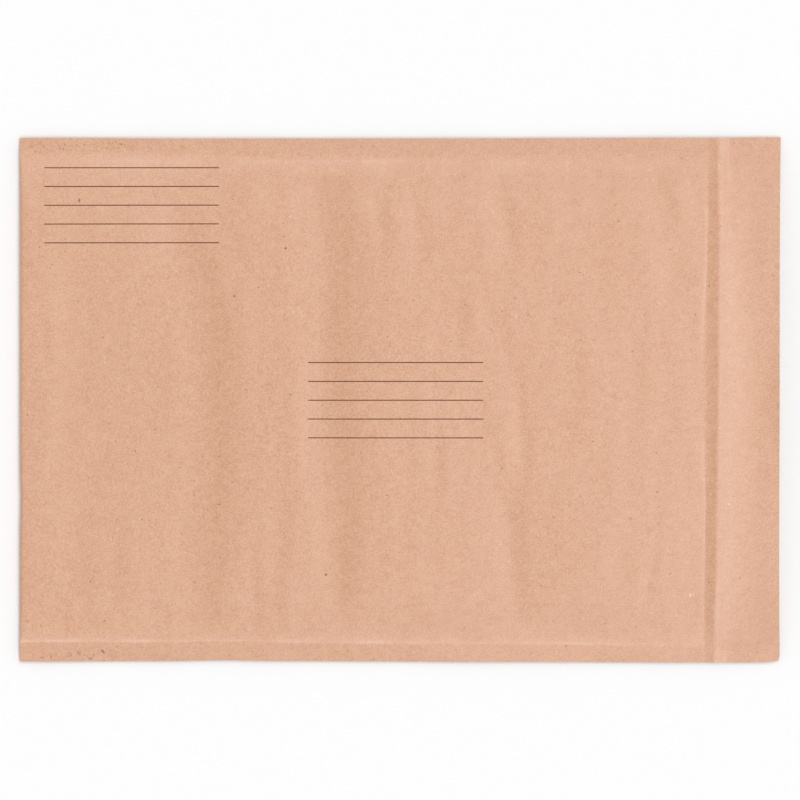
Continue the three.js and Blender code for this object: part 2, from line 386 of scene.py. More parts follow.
def drawn_plan(x, y):
    """The plan as it really lies: edges that aren't quite straight, and a crease that isn't quite square."""
    across = y / HALF_WIDTH
    nick = NICK_DEPTH * bell(y - NICK_Y, NICK_HALF)
    drawn = FOLD_DRAW * swell(PANEL_HALF + FOLD_DRAW_MARGIN - np.abs(y), FOLD_DRAW_RUN)
    left = (nick + drawn) * smooth(FOLD_X + FOLD_DRAW_REACH - x, FOLD_DRAW_REACH)
    right = FLAP_REACH - FLAP_LEAN * across - FLAP_HOLLOW * (1 - across ** HOLLOW_POWER)
    right = right * span(x, CREASE_X, FLAP_END_X)
    skew = CREASE_SKEW * across * bell(x - CREASE_X, SKEW_HALF)
    raised = sum(height * span(x, start, end) for height, start, end in TOP_RISES)
    top = (raised - TOP_DROP) * span(y, *TOP_EDGE)
    bottom = BOTTOM_DENT * bell(x - BOTTOM_DENT_X, BOTTOM_DENT_HALF)
    bottom = bottom + BOTTOM_DRAW * span(x, *BOTTOM_DRAW_GROWS)
    bottom = bottom + BOTTOM_WAVE * np.sin((x - BOTTOM_WAVE_START) / BOTTOM_WAVE_LENGTH)
    bottom = bottom * smooth(-y, HALF_WIDTH)
    worn_x = (1 - share(FLAP_END_X - x, CORNER_LENGTH)) ** 2
    worn_y = (1 - share(HALF_WIDTH + y, CORNER_WIDTH)) ** 2
    corner = CORNER_WEAR * worn_x * worn_y
    return x + left + right + skew - CORNER_SHORTENING * corner, y + top + bottom + corner


# Plan stations of the sheets
GRID_X = 1.6
GRID_Y = 6.0
RISE_GRID = 3.0
BAND_GRID = 1.5
CREST_GRID = 0.6
CREST_REACH = 2.0
CREASE_GRID = 0.55
FLAP_GRID = 1.5
FOLD_STEPS = 8
STATION_GAP = 1e-3


def even_steps(start, stop, step):
    count = max(1, round(abs(stop - start) / step))
    return np.linspace(start, stop, count + 1)


def merged(*groups):
    stations = np.unique(np.round(np.concatenate(groups), decimals=4))
    return stations[np.concatenate([[True], np.diff(stations) > STATION_GAP])]


def between(stations, low, high):
    return stations[(stations >= low - STATION_GAP) & (stations <= high + STATION_GAP)]


# The printed address rules: two blocks, each with its start and its first rule's place
RULE_COUNT = 5
RULE_PITCH = 8.6
RULE_LENGTH = 80.0
RULE_WIDTH = 0.44
RULE_BLOCKS = [(-162.8, 106.3), (-42.0, 17.1)]


def rule_edges():
    for start_x, first_y in RULE_BLOCKS:
        for row in range(RULE_COUNT):
            middle = first_y - row * RULE_PITCH
            yield start_x, middle - RULE_WIDTH / 2, middle + RULE_WIDTH / 2


def length_stations():
    angles = np.linspace(0, math.pi / 2, FOLD_STEPS + 1)
    fold = FOLD_X + PAPER + (FOLD_RADIUS - PAPER) * (1 - np.cos(angles))
    body = even_steps(FOLD_X + FOLD_RADIUS, LINER_END_X, GRID_X)
    crease = even_steps(LINER_END_X - LINER_SLIP, CREASE_X, CREASE_GRID)
    flap = even_steps(CREASE_X, FLAP_END_X, FLAP_GRID)
    strips = [ADHESIVE_LOW[0], ADHESIVE_HIGH[0], RELEASE_LOW[0], RELEASE_HIGH[0]]
    rules = [[start, start + RULE_LENGTH] for start, _ in RULE_BLOCKS]
    return merged([FOLD_X], fold, body, crease, [BACK_END_X], flap, strips, np.ravel(rules))


def width_stations():
    panel = even_steps(-PANEL_HALF + SEAM_RISE, PANEL_HALF - SEAM_RISE, GRID_Y)
    rise = even_steps(PANEL_HALF - SEAM_RISE, PANEL_HALF, RISE_GRID)
    band = even_steps(PANEL_HALF, HALF_WIDTH, BAND_GRID)
    crests = even_steps(PANEL_HALF - CREST_REACH, PANEL_HALF + CREST_REACH, CREST_GRID)
    strips = [RELEASE_HIGH[1], -RELEASE_HIGH[1]]
    rules = [[low, high] for _, low, high in rule_edges()]
    return merged(panel, rise, -rise, band, -band, crests, -crests, strips, np.ravel(rules))


XS = length_stations()
YS = width_stations()

# Heights closer than this are one corner
TOUCHING = 1e-3
# Where the surfaces of a stack lie on the UV map, from the lowest up: corner and scale
UV_TILES = [(0.34, 0.0, 0.32), (0.0, 0.0, 0.32), (0.68, 0.0, 0.32), (0.0, 0.3, 1.0)]


def stack_corners(heights):
    """Numbers of each surface's points. Where two surfaces meet, the upper one takes the lower one's."""
    grid = np.arange(heights[0].size).reshape(heights[0].shape)
    numbers = [grid]
    for k in range(1, len(heights)):
        own = grid + k * grid.size
        numbers.append(np.where(heights[k] - heights[k - 1] < TOUCHING, numbers[-1], own))
    return numbers


def stack_quads(numbers, filled):
    """Quads round the filled cells of each layer, and the surface that each one goes with."""
    rings = [[at[:-1, :-1], at[1:, :-1], at[1:, 1:], at[:-1, 1:]] for at in numbers]
    empty = np.zeros_like(filled[0])
    inside = (slice(1, -1), slice(1, -1))
    around = [
        (slice(1, -1), slice(0, -2)),
        (slice(2, None), slice(1, -1)),
        (slice(1, -1), slice(2, None)),
        (slice(0, -2), slice(1, -1)),
    ]
    quads = []
    sources = []

    def add(mask, ring, surface):
        chosen = np.stack([corner[mask] for corner in ring], -1)
        quads.append(chosen)
        sources.append(np.full(len(chosen), surface))

    layers = len(filled)
    for k in range(layers):
        here = filled[k][inside]
        below = (filled[k - 1] if k else empty)[inside]
        above = (filled[k + 1] if k + 1 < layers else empty)[inside]
        low = rings[k]
        high = rings[k + 1]
        add(here & ~below, [low[0], low[3], low[2], low[1]], k)
        add(here & ~above, high, k + 1)
        for side, beside in enumerate(around):
            other = (side + 1) % 4
            add(here & ~filled[k][beside], [low[side], low[other], high[other], high[side]], k + 1)
    return np.concatenate(quads), np.concatenate(sources)


def write_wear_and_painted_light(mesh, x, y, layers, used):
    """Point values for the wear, dirt and painted light and shade of the top surface. The surfaces below it
    have none.
    """
    lower = np.zeros(x.size * layers)
    shown = {"tone": wear_and_painted_light_tone(x, y), "scuff": scuffing(x, y), "front": np.ones_like(x)}
    for key, values in shown.items():
        values = np.concatenate([lower, values.ravel()])[used].astype(np.float32)
        mesh.attributes.new(key, "FLOAT", "POINT").data.foreach_set("value", values)


def write_uv(mesh, x, y, points, tiles):
    """UV map from the plan. points and tiles are the point and the tile of each corner of each face."""
    plan = np.stack([x - x.min(), y - y.min()], -1).reshape(-1, 2) / np.ptp(x)
    tile = np.array(UV_TILES)[tiles]
    uv = tile[:, :2] + plan[points % x.size] * tile[:, 2:]
    mesh.uv_layers.new(name="OFBake").uv.foreach_set("vector", uv.astype(np.float32).ravel())


def stacked_sheets(name, xs, ys, surfaces, holds):
    """Closed mesh of sheets stacked over a plan grid.

    surfaces are heights over the plan from the lowest up. holds(layer, x, y) tells where there is material
    between surfaces layer and layer + 1.
    """
    layers = len(surfaces) - 1
    x, y = np.meshgrid(xs, ys, indexing="ij")
    middle_x, middle_y = np.meshgrid((xs[1:] + xs[:-1]) / 2, (ys[1:] + ys[:-1]) / 2, indexing="ij")
    heights = [surface(x, y) for surface in surfaces]
    filled = [np.pad(holds(k, middle_x, middle_y), 1) for k in range(layers)]
    quads, sources = stack_quads(stack_corners(heights), filled)
    faces = [list(dict.fromkeys(quad)) for quad in quads.tolist()]
    lengths = np.array([len(face) for face in faces])
    kept = lengths > 2
    corners = np.concatenate([face for face in faces if len(face) > 2])
    used, renumbered = np.unique(corners, return_inverse=True)
    polygons = [each.tolist() for each in np.split(renumbered, np.cumsum(lengths[kept])[:-1])]

    plan = drawn_plan(x, y)
    points = np.concatenate([np.stack([*plan, height], -1).reshape(-1, 3) for height in heights])
    mesh = bpy.data.meshes.new(name)
    mesh.from_pydata((points[used] * MM).tolist(), [], polygons)
    write_wear_and_painted_light(mesh, x, y, layers, used)
    tiles = np.repeat(sources[kept], lengths[kept]) + len(UV_TILES) - len(surfaces)
    write_uv(mesh, x, y, corners, tiles)
    return smooth_object(name, mesh)


SHARP = math.radians(40)


def smooth_object(name, mesh):
    mesh.polygons.foreach_set("use_smooth", [True] * len(mesh.polygons))
    mesh.set_sharp_from_angle(angle=SHARP)
    mesh.validate()
    piece = bpy.data.objects.new(name, mesh)
    bpy.context.scene.collection.objects.link(piece)
    return piece


# Wear and painted light and shade of the address side. Tones run from -1, dark, to 1, pale. A pair is where a
# change starts and ends
RIGHT_HALF = (-60, 20)
SEAM_TONE_END = 3.0
# Patches and breaks in the wear and painted light: pitch along the length, pitch across it and seed
PATCHES = (14, 60, 11.3)
BREAKS = (11, 90, 2.6)
PATCH_LEVEL = 0.75
PATCH_DEPTH = 0.6
BREAK_LEVEL = 0.85
BREAK_LOSS = 0.4
BREAK_DEPTH = 0.9
BREAK_LIMITS = (0.35, 1.2)


def patchiness(x, y):
    return PATCH_LEVEL + PATCH_DEPTH * wander(x, y, *PATCHES)


def unbroken(x, y):
    """How much there is of a pale crest line, worn paper and painted highlight: it comes and goes, and is
    weaker in the right half.
    """
    level = BREAK_LEVEL - BREAK_LOSS * span(x, *RIGHT_HALF)
    return np.clip(level + BREAK_DEPTH * wander(x, y, *BREAKS), *BREAK_LIMITS)


# The top seam, measured in from the top edge
TOP_BAND = 5.5
TOP_BAND_GAIN = 1.5
TOP_BAND_GROWS = (-90, -60)
TOP_CREST = 10.8
TOP_PRESS = 0.35
TOP_PRESS_REACH = 3.0
TOP_PRESS_RUN = 5.0
TOP_SHEEN = 0.45
TOP_SHEEN_GROWS = (-205, -85)
TOP_SHEEN_LOSS = 0.45
TOP_SHEEN_FADES = (20, 90)
TOP_GLOW_RUN = 8.0
TOP_FAR_GLOW = 0.6
TOP_FAR_RUN = 36.0
TOP_LINE = 0.45
TOP_LINE_AT = TOP_CREST - 0.3
TOP_LINE_HALF = 0.8
# Stretches of the crest with a pale line, partly scraped paper and partly painted glint: strength, where each
# grows and where it fades
TOP_SCRAPES_AND_GLINTS = [(1.0, (-75, -45), (25, -15)), (0.6, (-160, -145), (-95, -110))]


def top_seam_wear_and_painted_light(x, y):
    """The top seam: darker along its pressed edge band, a painted sheen on and below its crest, and a pale
    line along parts of the crest, partly scraped paper and partly painted glint.
    """
    from_top = HALF_WIDTH - y
    band = TOP_BAND + TOP_BAND_GAIN * span(x, *TOP_BAND_GROWS)
    pressed = TOP_PRESS * smooth(band + TOP_PRESS_REACH - from_top, TOP_PRESS_RUN)
    # Painted sheen where the seam rises to the panel, with more of it in the right half
    rubbed_and_painted_sheen = TOP_SHEEN * span(x, *TOP_SHEEN_GROWS) * (1 - TOP_SHEEN_LOSS * span(x, *TOP_SHEEN_FADES))
    glow = smooth(TOP_CREST + TOP_GLOW_RUN - from_top, TOP_GLOW_RUN)
    far_glow = TOP_FAR_GLOW * span(x, *RIGHT_HALF) * smooth(TOP_CREST + TOP_FAR_RUN - from_top, TOP_FAR_RUN)
    scraped_and_glinting = sum(strength * span(x, *grows) * span(x, *fades) for strength, grows, fades in TOP_SCRAPES_AND_GLINTS)
    line = TOP_LINE * unbroken(x, y) * scraped_and_glinting * bell(from_top - TOP_LINE_AT, TOP_LINE_HALF)
    pale = rubbed_and_painted_sheen * span(from_top, band, TOP_CREST) * (glow + far_glow) + line
    return pale * patchiness(x, y) - pressed


# The bottom seam, measured in from the bottom edge
BOTTOM_CREST = 8.7
BOTTOM_CREST_LEAN = 0.004
BOTTOM_CREST_TURN = 0.8
BOTTOM_CREST_TURNS = (60, 130)
BOTTOM_PRESS = 0.3
BOTTOM_PRESS_LOSS = 0.4
BOTTOM_PRESS_RUN = 1.2
BOTTOM_LINE = 0.7
BOTTOM_LINE_HALF = 0.75
BOTTOM_SOFT = 0.3
BOTTOM_SOFT_GAIN = 0.15
BOTTOM_SOFT_GROWS = (-60, -120)
BOTTOM_SOFT_HALF = 2.6
BOTTOM_SOFT_EASE = 0.5
BOTTOM_LOSS = 0.5
BOTTOM_FADES = (85, 135)
BOTTOM_GLOW = 0.38
BOTTOM_GLOW_GROWS = (-125, -65)
BOTTOM_GLOW_RUN = 14.0
BOTTOM_SHADE = 0.08
BOTTOM_FAR_GLOW = 0.15
BOTTOM_FAR_RUN = 36.0
BOTTOM_GLOW_EASE = 1.0


def bottom_seam_wear_and_painted_light(x, y):
    """The bottom seam: darker along its pressed edge band, a pale line along its crest, partly worn paper and
    partly painted highlight, and a painted sheen inwards that turns to a faint painted shade near the fold.
    """
    turn = BOTTOM_CREST_TURN * span(x, *BOTTOM_CREST_TURNS)
    inwards = HALF_WIDTH + y - BOTTOM_CREST + BOTTOM_CREST_LEAN * x + turn
    right = span(x, *RIGHT_HALF)
    pressed = (BOTTOM_PRESS - BOTTOM_PRESS_LOSS * right) * smooth(-inwards, BOTTOM_PRESS_RUN)
    line = BOTTOM_LINE * unbroken(x, y) * bell(inwards, BOTTOM_LINE_HALF)
    soft = (BOTTOM_SOFT + BOTTOM_SOFT_GAIN * span(x, *BOTTOM_SOFT_GROWS)) * bell(inwards, BOTTOM_SOFT_HALF)
    soft = soft * share(inwards + BOTTOM_SOFT_EASE, BOTTOM_SOFT_EASE)
    fading = 1 - BOTTOM_LOSS * span(x, *BOTTOM_FADES)
    # Painted sheen inwards of the crest, and a faint painted shade near the fold
    glow = BOTTOM_GLOW * span(x, *BOTTOM_GLOW_GROWS) - BOTTOM_SHADE
    glow = glow * smooth(BOTTOM_GLOW_RUN - inwards, BOTTOM_GLOW_RUN)
    far_glow = BOTTOM_FAR_GLOW * right * smooth(BOTTOM_FAR_RUN - inwards, BOTTOM_FAR_RUN)
    pale = (line + soft) * fading + (glow + far_glow) * share(inwards, BOTTOM_GLOW_EASE)
    return pale * patchiness(x, y) - pressed


# The ridge over the liner's end, with a painted highlight, and the crease, whose ends are paler than its
# middle
RIDGE = 0.4
RIDGE_HALF = 0.8
RIDGE_FADES = (79, 99)
MIDDLE_TO_END = (60, 100)
# Pale lines along the crease, partly worn paper and partly painted highlight at the crest and painted sheen
# on the flap: place past it, half width, strength in the middle and strength at the ends
CREST_LINE = (1.2, 1.0, 0.1, 0.7)
FLAP_LINES = [(6.0, 5.0, 0.2, 0.08), (4.0, 2.5, 0.0, 0.3)]


def crease_line(x, y, past, half, middle, end):
    strength = middle + (end - middle) * span(np.abs(y), *MIDDLE_TO_END)
    return strength * bell(x - CREASE_X - past, half)


def crease_wear_and_painted_light(x, y):
    """Painted highlight on the ridge over the liner's end, a pale line on the crease, partly worn paper and
    partly painted highlight, and painted sheen on the start of the flap.
    """
    ridge = RIDGE * bell(x - liner_line(y), RIDGE_HALF)
    ridge = ridge * (1 - span(np.abs(y), *RIDGE_FADES)) * (1 - pinched(y))
    crest = crease_line(x, y, *CREST_LINE) * patchiness(x, y)
    return ridge + crest + sum(crease_line(x, y, *each) for each in FLAP_LINES)


# Broad painted light and shade: near the fold, on its rim, at the flap's lower corner and on its upper end
FOLD_GLOW = 0.17
FOLD_GLOW_GROWS = (-80, -120)
FOLD_GLOW_LOSS = 0.45
FOLD_GLOW_FADES = (-45, -90)
RIM_SHADE = 0.28
RIM = (-165.5, -170.5)
RIM_FADES = (83, 98)
CORNER_SHADE = 0.6
CORNER_SHADE_X = FLAP_END_X - 7.5
CORNER_SHADE_HALF = 6.5
CORNER_SHADE_GROWS = (-75, -100)
UPPER_SHADE = 0.2
UPPER_SHADE_STARTS = (CREASE_X + 4, CREASE_X + 9)
UPPER_SHADE_GROWS = (50, 80)


def painted_broad_light_and_shade(x, y):
    """Painted light near the fold, and painted shade on its rim, at the flap's lower corner and on its upper
    end.
    """
    fold = FOLD_GLOW * span(x, *FOLD_GLOW_GROWS) * (1 - FOLD_GLOW_LOSS * span(y, *FOLD_GLOW_FADES))
    rim = RIM_SHADE * span(x, *RIM) * (1 - span(np.abs(y), *RIM_FADES))
    corner = CORNER_SHADE * bell(x - CORNER_SHADE_X, CORNER_SHADE_HALF) * span(y, *CORNER_SHADE_GROWS)
    upper = UPPER_SHADE * span(x, *UPPER_SHADE_STARTS) * span(y, *UPPER_SHADE_GROWS)
    return fold - rim - corner - upper


def wear_and_painted_light_tone(x, y):
    """Painted sheen and highlights where the paper stands up along the seams, crease and liner end, partly
    worn paper on the crest lines, broad painted light and shade, and darker along the pressed seam bands.
    """
    seams = (top_seam_wear_and_painted_light(x, y) + bottom_seam_wear_and_painted_light(x, y)) * smooth(CREASE_X - x, SEAM_TONE_END)
    return seams + crease_wear_and_painted_light(x, y) + painted_broad_light_and_shade(x, y)


# Dirt rubbed into the seams near the fold: middle, half length and half width
SCUFFS = [((-152, 116), 16, 2.8), ((-126, 117), 14, 2.5), ((-146, -117), 18, 2.5)]
SCUFF_STRENGTH = 0.75
SCUFF_POWER = 4


def scuff(x, y, middle, long, wide):
    along = (x - middle[0]) / long
    across = (y - middle[1]) / wide
    return np.exp(-(along ** SCUFF_POWER) - across ** SCUFF_POWER)


def scuffing(x, y):
    return SCUFF_STRENGTH * sum(scuff(x, y, *each) for each in SCUFFS)


# Materials
NOISE_RANGE = (0.3, 0.7)


def add_node(tree, kind, inputs=None, **settings):
    node = tree.nodes.new(kind)
    for key, value in settings.items():
        setattr(node, key, value)
    for key, value in (inputs or {}).items():
        if isinstance(value, bpy.types.NodeSocket):
            tree.links.new(value, node.inputs[key])
        else:
            node.inputs[key].default_value = value
    return node


def linear(red, green, blue):
    """A colour written in 0 to 255 steps of sRGB, as the shader takes it."""
    levels = np.array([red, green, blue]) / 255
    return (*np.where(levels <= 0.04045, levels / 12.92, ((levels + 0.055) / 1.055) ** 2.4), 1.0)


def new_material(name):
    material = bpy.data.materials.new(name)
    material.use_nodes = True
    tree = material.node_tree
    return material, tree, tree.nodes["Principled BSDF"]


def place(tree):
    return add_node(tree, "ShaderNodeTexCoord").outputs["Object"]


def scaled(tree, vector, factors):
    return add_node(tree, "ShaderNodeVectorMath", {0: vector, 1: factors}, operation="MULTIPLY").outputs[0]


def attribute(tree, name):
    return add_node(tree, "ShaderNodeAttribute", attribute_name=name).outputs["Fac"]


def speckle(tree, vector, scale, detail, roughness):
    inputs = {"Vector": vector, "Scale": scale, "Detail": detail, "Roughness": roughness}
    return add_node(tree, "ShaderNodeTexNoise", inputs).outputs["Fac"]


def remap(tree, value, source, target):
    """Takes the ends of the source range to those of the target range, and holds what is past them."""
    limits = {"From Min": source[0], "From Max": source[1], "To Min": target[0], "To Max": target[1]}
    return add_node(tree, "ShaderNodeMapRange", {"Value": value, **limits}).outputs["Result"]


def maths(tree, operation, first, second):
    return add_node(tree, "ShaderNodeMath", {0: first, 1: second}, operation=operation).outputs[0]


# Numbers of the sockets of a mix node that mixes colours, because its other sockets have the same names
MIX_FACTOR = 0
MIX_FIRST = 6
MIX_SECOND = 7
MIX_RESULT = 2


def mixed(tree, factor, first, second):
    inputs = {MIX_FACTOR: factor, MIX_FIRST: first, MIX_SECOND: second}
    return add_node(tree, "ShaderNodeMix", inputs, data_type="RGBA").outputs[MIX_RESULT]


def set_finish(tree, shader, value, colours, roughness):
    """Colour and roughness that go from the first to the second as the noise value rises."""
    colour = mixed(tree, remap(tree, value, NOISE_RANGE, (0.0, 1.0)), *colours)
    tree.links.new(colour, shader.inputs["Base Color"])
    tree.links.new(remap(tree, value, NOISE_RANGE, roughness), shader.inputs["Roughness"])


BUMP_DEPTH = 0.1


def set_bump(tree, shader, height, strength):
    inputs = {"Height": height, "Strength": strength, "Distance": BUMP_DEPTH * MM}
    tree.links.new(add_node(tree, "ShaderNodeBump", inputs).outputs[0], shader.inputs["Normal"])


# Specks: how finely and how far their edges are shifted, their range of sizes and how their edges fade
RAGGED_SCALE = 1600.0
RAGGED_DETAIL = 1.0
RAGGED_SHIFT = 1.1
SPECK_SIZES = (0.5, 1.5)
SPECK_EDGE = (1.2, 0.6)


def flecks(tree, vector, per_metre, size, wanted):
    """Scattered ragged specks: cells in a metre, usual radius in millimetres and share of cells with one."""
    inputs = {"Vector": vector, "Scale": RAGGED_SCALE, "Detail": RAGGED_DETAIL}
    ragged = add_node(tree, "ShaderNodeTexNoise", inputs).outputs["Color"]
    shift = scaled(tree, ragged, (RAGGED_SHIFT * MM, RAGGED_SHIFT * MM, 0.0))
    moved = add_node(tree, "ShaderNodeVectorMath", {0: vector, 1: shift}, operation="ADD").outputs[0]
    inputs = {"Vector": moved, "Scale": per_metre}
    cells = add_node(tree, "ShaderNodeTexVoronoi", inputs, voronoi_dimensions="2D").outputs
    draw = add_node(tree, "ShaderNodeSeparateColor", {0: cells["Color"]}).outputs
    radius = size * MM * per_metre
    reach = remap(tree, draw[1], (0.0, 1.0), [radius * each for each in SPECK_SIZES])
    inside = maths(tree, "DIVIDE", cells["Distance"], reach)
    speck = remap(tree, inside, SPECK_EDGE, (0.0, 1.0))
    present = maths(tree, "LESS_THAN", draw[0], wanted)
    return maths(tree, "MULTIPLY", speck, present)


# Single marks on the address side: place, half length, half width, lean in degrees and strength
DARK_MARKS = [
    ((-33.9, -79.8), 0.65, 0.55, 0, 0.85),
    ((-136.1, -115.1), 1.2, 0.5, -50, 0.75),
    ((-146.7, 91.3), 0.95, 0.5, 80, 0.8),
    ((-52.2, 69.3), 0.6, 0.5, 0, 0.8),
    ((-75.7, 47.5), 0.6, 0.5, 0, 0.65),
    ((-147.3, -115.8), 1.2, 0.45, -65, 0.45),
    ((-50.0, 2.5), 0.5, 0.4, 0, 0.55),
    ((-121.0, -23.4), 0.5, 0.4, 0, 0.55),
    ((-159.8, -117.6), 0.9, 0.4, 85, 0.45),
    ((-141.9, -118.4), 1.0, 0.5, 20, 0.5),
    ((-151.0, -117.0), 0.9, 0.35, 30, 0.35),
    ((-164.0, -117.9), 0.6, 0.4, 60, 0.4),
    ((-167.0, 113.7), 0.5, 0.5, 0, 0.35),
    ((-127.6, 117.2), 0.7, 0.45, 10, 0.45),
    ((-168.8, 115.9), 0.8, 0.4, 0, 0.3),
    ((108.0, -104.1), 0.45, 0.35, 0, 0.5),
    ((155.4, -81.6), 0.5, 0.45, 0, 0.45),
    ((123.5, -79.5), 0.6, 0.3, 20, 0.5),
]
PALE_MARKS = [
    ((132.8, -89.2), 0.8, 0.35, 90, 0.7),
    ((134.2, -89.0), 0.7, 0.3, 90, 0.5),
    ((150.3, -47.6), 0.5, 0.4, 0, 0.6),
    ((-50.4, 83.8), 0.5, 0.4, 0, 0.5),
    ((145.9, 107.0), 1.4, 0.4, 80, 0.3),
]
MARK_EDGE = (1.3, 0.5)


def marks(tree, vector, places):
    covered = None
    for (x, y), long, wide, lean, strength in places:
        inputs = {
            "Vector": vector,
            "Location": (x * MM, y * MM, 0),
            "Rotation": (0, 0, math.radians(lean)),
            "Scale": (long * MM, wide * MM, 1),
        }
        beside = add_node(tree, "ShaderNodeMapping", inputs, vector_type="TEXTURE").outputs[0]
        away = add_node(tree, "ShaderNodeVectorMath", {0: beside}, operation="LENGTH").outputs["Value"]
        spot = remap(tree, away, MARK_EDGE, (0.0, strength))
        covered = maths(tree, "MAXIMUM", covered, spot) if covered else spot
    return maths(tree, "MULTIPLY", covered, attribute(tree, "front"))


# Kraft paper: its pulp, and the wear, dirt and painted light and shade on it
GRAIN_COLOURS = (linear(202, 146, 115), linear(226, 180, 148))
GRAIN_SHADE = (0.03, 0.97)
MOTTLE_SHADE = (-0.24, 0.24)
FIBRE_COLOUR = linear(211, 162, 132)
FIBRE_SCALES = (500.0, 1900.0, 500.0)
FIBRE_RANGE = (0.35, 0.65)
FIBRE_SHADE = (0.0, 0.3)
# Flecks: cells in a metre, usual radius, share of cells with one, strength and colour
PULP_FLECKS = [
    (420.0, 0.2, 0.12, 0.4, linear(160, 112, 84)),
    (170.0, 0.26, 0.14, 0.65, linear(120, 78, 56)),
    (260.0, 0.25, 0.07, 0.4, linear(244, 214, 194)),
]
# Scuffs are flecks too: cells in a metre, usual radius and share of cells with one
SCUFF_FLECKS = (900.0, 0.2, 0.55)
# Their lean in radians and how they are stretched
SCUFF_LEAN = 0.7
SCUFF_STRETCH = (1.0, 0.45, 1.0)
SCUFF_COLOUR = linear(150, 104, 78)
DARK_MARK_COLOUR = linear(104, 54, 28)
PALE_MARK_COLOUR = linear(250, 222, 204)
# The tone of the wear and painted light mixes in at most these shares of its colours
PALE_TONE_SHARE = 0.4
PALE_COLOUR = linear(246, 208, 186)
DARK_TONE_SHARE = 0.35
DARK_COLOUR = linear(196, 148, 120)
KRAFT_ROUGHNESS = (0.34, 0.44)
KRAFT_SPECULAR = 0.5
KRAFT_BUMP = 0.15


def pulp_colour(tree, at, grain):
    mottle = speckle(tree, at, scale=260.0, detail=4.0, roughness=0.8)
    fibre = speckle(tree, scaled(tree, at, FIBRE_SCALES), scale=1.0, detail=3.0, roughness=0.6)
    fine = remap(tree, grain, NOISE_RANGE, GRAIN_SHADE)
    shade = maths(tree, "ADD", fine, remap(tree, mottle, NOISE_RANGE, MOTTLE_SHADE))
    colour = mixed(tree, shade, *GRAIN_COLOURS)
    colour = mixed(tree, remap(tree, fibre, FIBRE_RANGE, FIBRE_SHADE), colour, FIBRE_COLOUR)
    for per_metre, size, wanted, strength, tint in PULP_FLECKS:
        specks = maths(tree, "MULTIPLY", flecks(tree, at, per_metre, size, wanted), strength)
        colour = mixed(tree, specks, colour, tint)
    return colour


def wear_and_painted_light_colour(tree, at, colour):
    inputs = {"Vector": at, "Rotation": (0, 0, SCUFF_LEAN), "Scale": SCUFF_STRETCH}
    slanted = add_node(tree, "ShaderNodeMapping", inputs).outputs[0]
    rubbed_and_painted_sheen = maths(tree, "MULTIPLY", flecks(tree, slanted, *SCUFF_FLECKS), attribute(tree, "scuff"))
    colour = mixed(tree, rubbed_and_painted_sheen, colour, SCUFF_COLOUR)
    colour = mixed(tree, marks(tree, at, DARK_MARKS), colour, DARK_MARK_COLOUR)
    colour = mixed(tree, marks(tree, at, PALE_MARKS), colour, PALE_MARK_COLOUR)
    # The tone is pale for painted sheen and highlights and some worn paper, and dark for painted shade and
    # the darker seam bands
    tone = attribute(tree, "tone")
    colour = mixed(tree, remap(tree, tone, (0.0, 1.0), (0.0, PALE_TONE_SHARE)), colour, PALE_COLOUR)
    return mixed(tree, remap(tree, tone, (0.0, -1.0), (0.0, DARK_TONE_SHARE)), colour, DARK_COLOUR)


def kraft_material():
    material, tree, shader = new_material("kraft_paper")
    at = place(tree)
    grain = speckle(tree, at, scale=1350.0, detail=2.0, roughness=0.6)
    colour = wear_and_painted_light_colour(tree, at, pulp_colour(tree, at, grain))
    tree.links.new(colour, shader.inputs["Base Color"])
    tree.links.new(remap(tree, grain, NOISE_RANGE, KRAFT_ROUGHNESS), shader.inputs["Roughness"])
    shader.inputs["Specular IOR Level"].default_value = KRAFT_SPECULAR
    set_bump(tree, shader, grain, KRAFT_BUMP)
    return material


INK_COLOURS = (linear(94, 56, 34), linear(124, 84, 58))
INK_RANGE = (0.35, 0.75)
INK_SHADE = (0.0, 0.5)
INK_ROUGHNESS = 0.8
INK_SPECULAR = 0.2


def ink_material():
    material, tree, shader = new_material("print_ink")
    patchy = speckle(tree, place(tree), scale=1800.0, detail=3.0, roughness=0.6)
    colour = mixed(tree, remap(tree, patchy, INK_RANGE, INK_SHADE), *INK_COLOURS)
    tree.links.new(colour, shader.inputs["Base Color"])
    shader.inputs["Roughness"].default_value = INK_ROUGHNESS
    shader.inputs["Specular IOR Level"].default_value = INK_SPECULAR
    return material


FILM_COLOURS = (linear(222, 220, 216), linear(243, 242, 240))
FILM_ROUGHNESS = (0.12, 0.25)
FILM_ALPHA = 0.8
FILM_IOR = 1.5


def film_material():
    material, tree, shader = new_material("bubble_film")
    haze = speckle(tree, place(tree), scale=120.0, detail=3.0, roughness=0.5)
    set_finish(tree, shader, haze, FILM_COLOURS, FILM_ROUGHNESS)
    shader.inputs["Alpha"].default_value = FILM_ALPHA
    shader.inputs["IOR"].default_value = FILM_IOR
    return material


GUM_COLOURS = (linear(222, 208, 160), linear(238, 228, 190))
GUM_ROUGHNESS = (0.2, 0.4)
GUM_SCALES = (900.0, 60.0, 900.0)


def adhesive_material():
    material, tree, shader = new_material("gum")
    streaks = speckle(tree, scaled(tree, place(tree), GUM_SCALES), scale=1.0, detail=3.0, roughness=0.5)
    set_finish(tree, shader, streaks, GUM_COLOURS, GUM_ROUGHNESS)
    return material


RELEASE_COLOURS = (linear(236, 233, 226), linear(247, 246, 241))
RELEASE_ROUGHNESS = (0.3, 0.42)
RELEASE_BUMP = 0.1


def release_material():
    material, tree, shader = new_material("release_paper")
    mottle = speckle(tree, place(tree), scale=500.0, detail=4.0, roughness=0.6)
    set_finish(tree, shader, mottle, RELEASE_COLOURS, RELEASE_ROUGHNESS)
    set_bump(tree, shader, mottle, RELEASE_BUMP)
    return material


def settle(piece, material, node=None):
    """Gives a piece its material and its place in the frame."""
    piece.data.materials.append(material)
    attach(piece, "root")
    if node:
        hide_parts(node)


